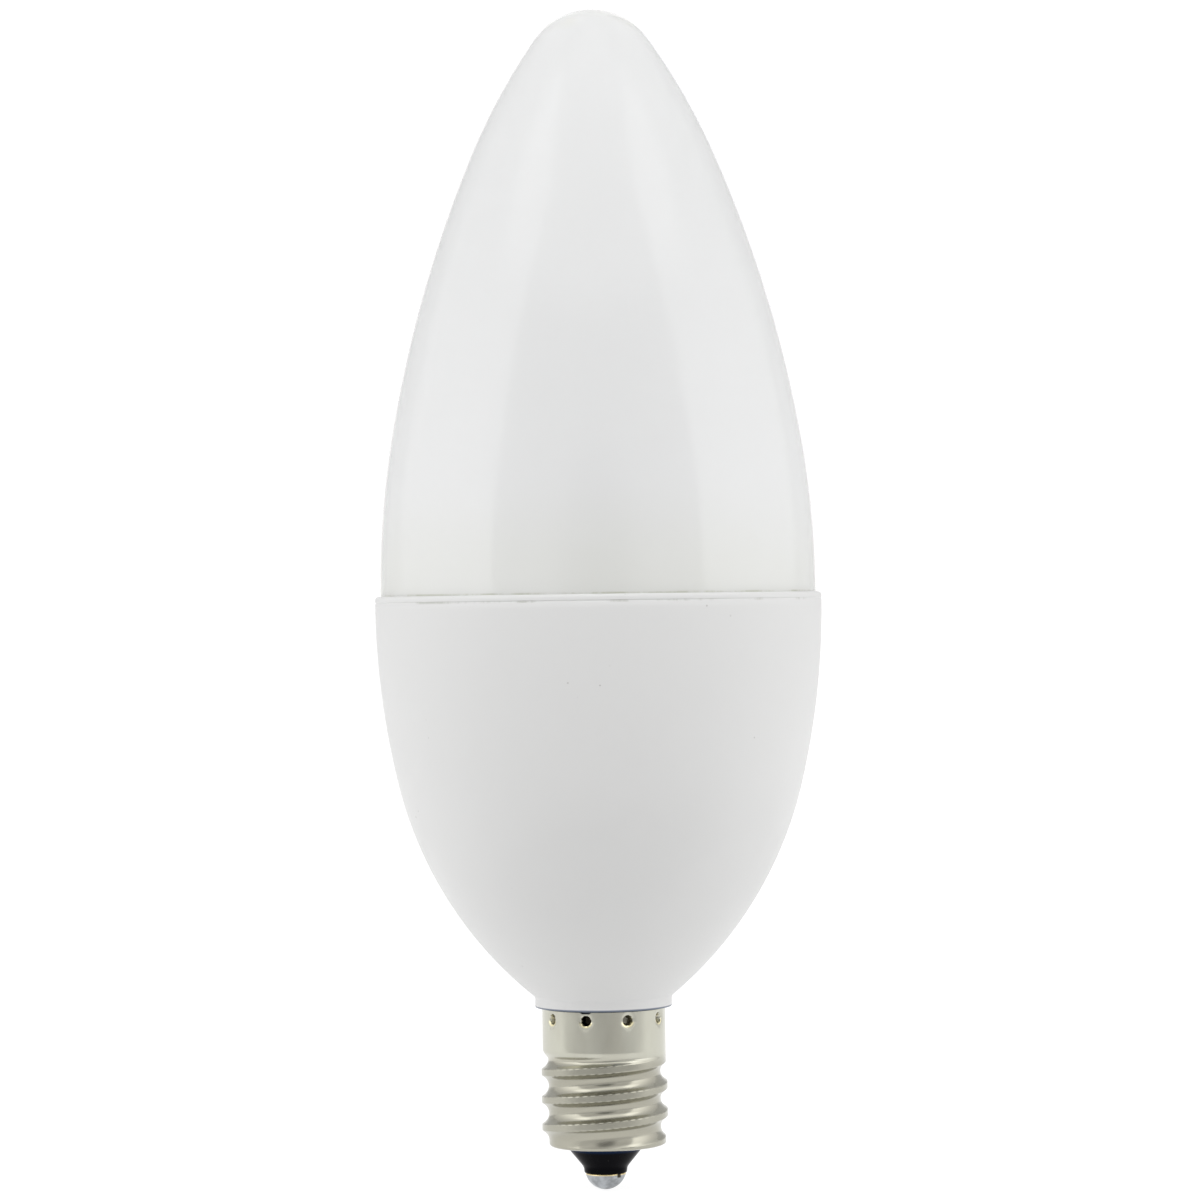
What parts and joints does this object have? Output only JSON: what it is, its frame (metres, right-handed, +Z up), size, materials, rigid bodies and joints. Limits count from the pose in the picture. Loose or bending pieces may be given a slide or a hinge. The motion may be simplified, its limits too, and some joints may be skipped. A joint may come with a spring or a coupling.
{
  "type": "candle bulb",
  "caption": "Candle lamp with a frosted torpedo dome on a tapered white housing and a nickelled candelabra screw cap, with its light engine and driver inside",
  "frame": {"origin": "lowest point of the solder on the centre contact, on the lamp's axis", "axes": "+Z up the lamp's axis from cap to tip, -Y the side that the picture shows"},
  "size_m": [0.0412, 0.0412, 0.1092],
  "materials": {
    "dome": "frosted translucent white, glossy",
    "housing": "satin white",
    "sealant": "cured white sealant",
    "aluminium": "drawn, satin",
    "board_white": "metal core with a white mask",
    "diode_white": "moulded white",
    "phosphor": "yellow silicone fill",
    "socket": "moulded ivory",
    "pin_metal": "tinned",
    "board_green": "glass fibre board with a green mask",
    "black_moulding": "moulded black",
    "can_black": "aluminium can in a black sleeve",
    "ferrite": "sintered dark grey",
    "winding": "enamelled copper wire",
    "varistor": "blue epoxy coat",
    "chip_black": "black film with tinned ends",
    "chip_tan": "tan ceramic with tinned ends",
    "resistor": "grey-green flameproof coat",
    "sleeve": "woven glass sleeve",
    "wire": "white insulation",
    "nickel": "warm nickel plate on brass",
    "insulator": "glossy black",
    "eyelet": "plain brass",
    "solder": "dull tin solder"
  },
  "bodies": {
    "root": {"diffuser_dome": "dome", "housing": "housing", "rim_sealant": "sealant", "heat_sink_cup": "aluminium", "led_board": "board_white", "led_packages": "diode_white", "led_phosphors": "phosphor", "board_connector": "socket", "link_pins": "pin_metal", "driver_board": "board_green", "bridge_rectifier": "black_moulding", "input_capacitor": "can_black", "output_capacitor": "can_black", "choke_core": "ferrite", "choke_winding": "winding", "driver_chip": "black_moulding", "freewheel_diode": "black_moulding", "varistor": "varistor", "chip_resistors": "chip_black", "chip_capacitors": "chip_tan", "fusible_resistor": "resistor", "lead_sleeve": "sleeve", "neutral_wire": "wire", "screw_shell": "nickel", "cap_insulator": "insulator", "centre_contact": "eyelet", "contact_solder": "solder"}
  },
  "joints": []
}
